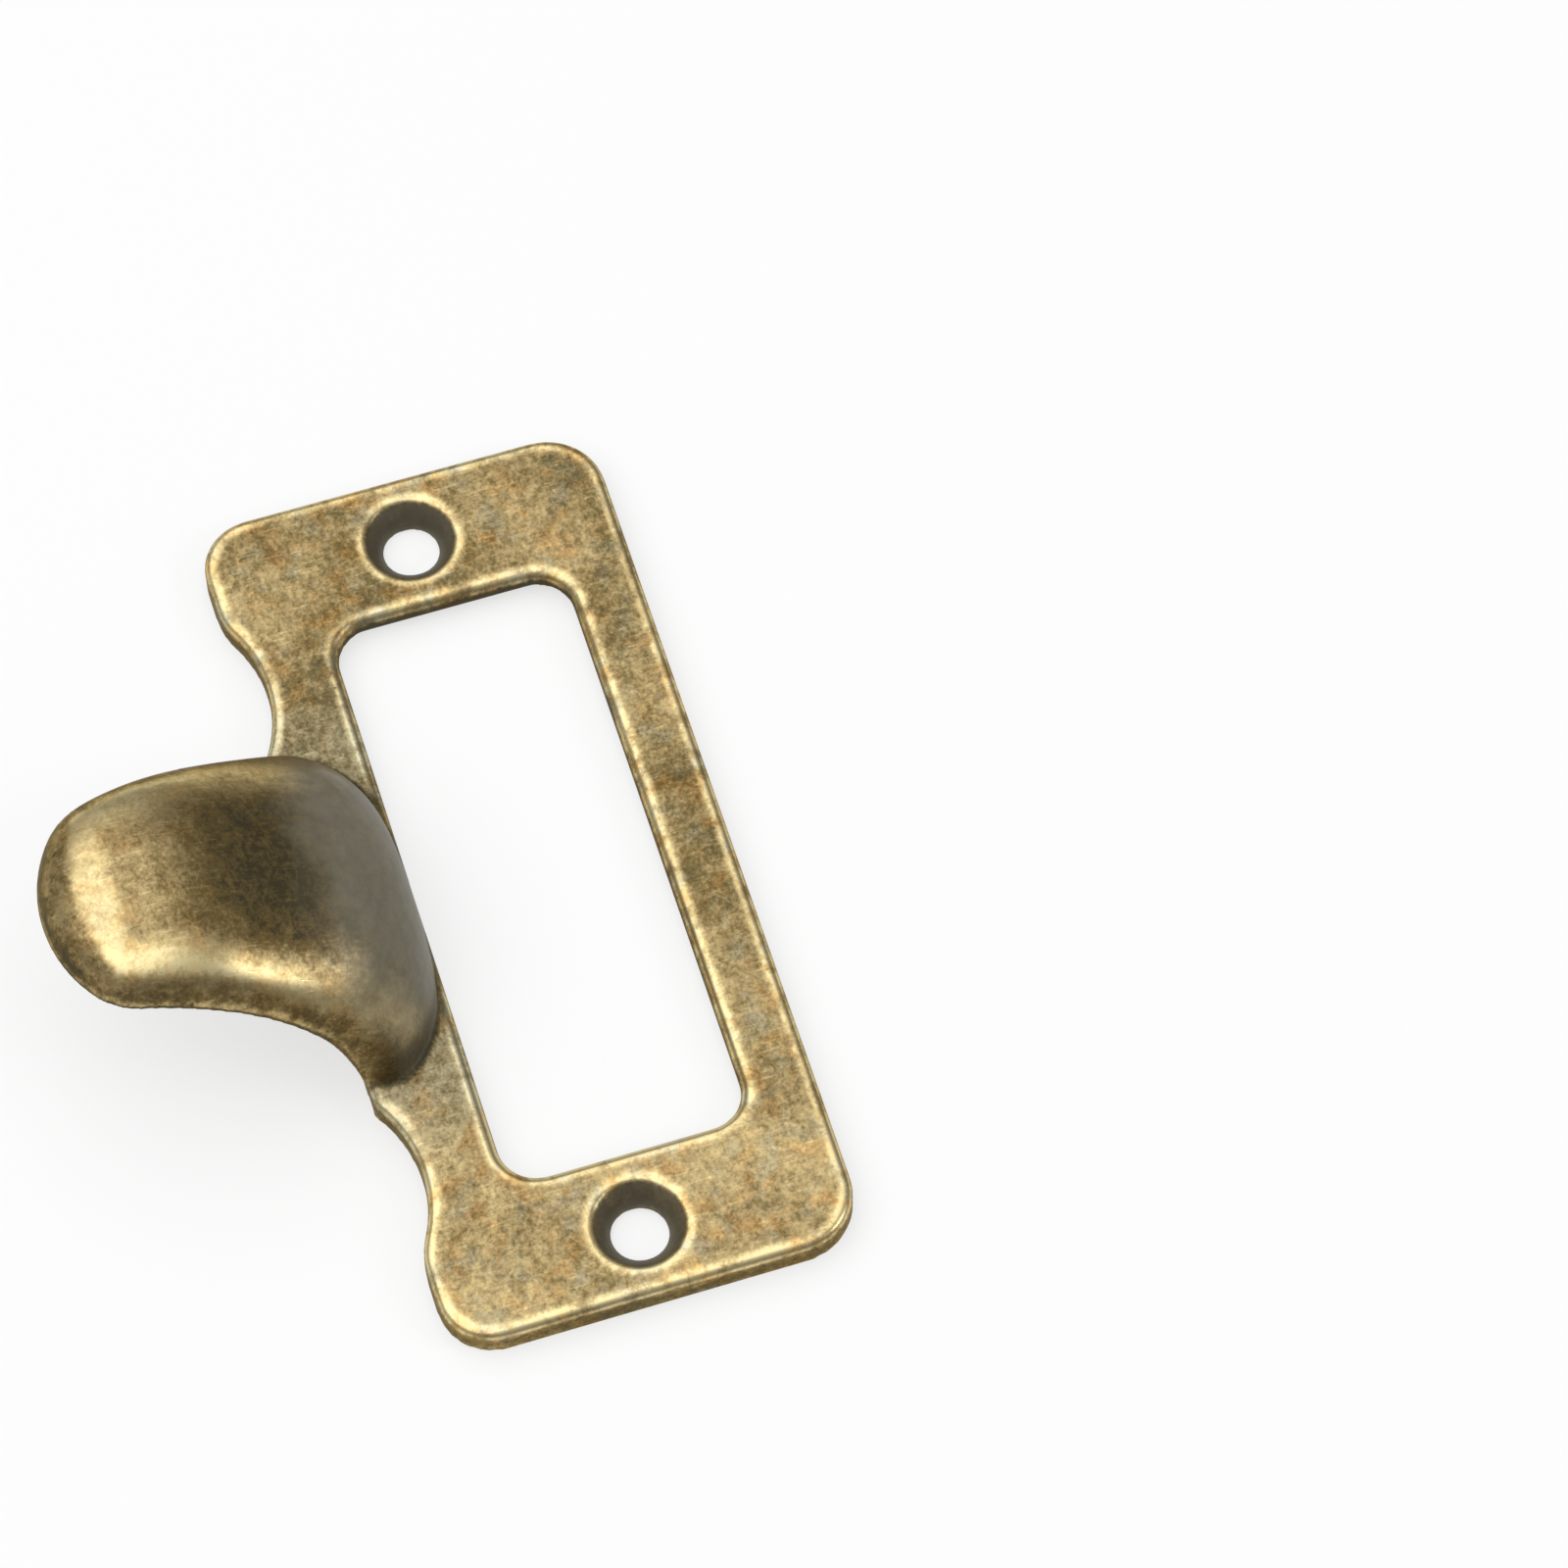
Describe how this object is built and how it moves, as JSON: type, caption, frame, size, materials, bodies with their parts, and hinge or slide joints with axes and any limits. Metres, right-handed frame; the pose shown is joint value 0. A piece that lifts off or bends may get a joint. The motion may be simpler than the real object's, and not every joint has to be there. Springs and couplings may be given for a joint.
{
  "type": "label holder",
  "caption": "Cast label holder for a drawer front: a flat frame around a card window, countersunk screw holes at its ends and a domed finger pull below the window.",
  "frame": {"origin": "on the back face, midway between the two screw holes", "axes": "+X along the frame through both screw holes, +Y towards the open edge where the card slides in, +Z out of the drawer front"},
  "size_m": [0.076, 0.0551, 0.0207],
  "materials": {
    "antique_brass": "antique brass: brown mottled patina, lighter rubbed edges, dark in the countersinks and corners"
  },
  "bodies": {
    "root": {"label_holder": "antique_brass"}
  },
  "joints": []
}
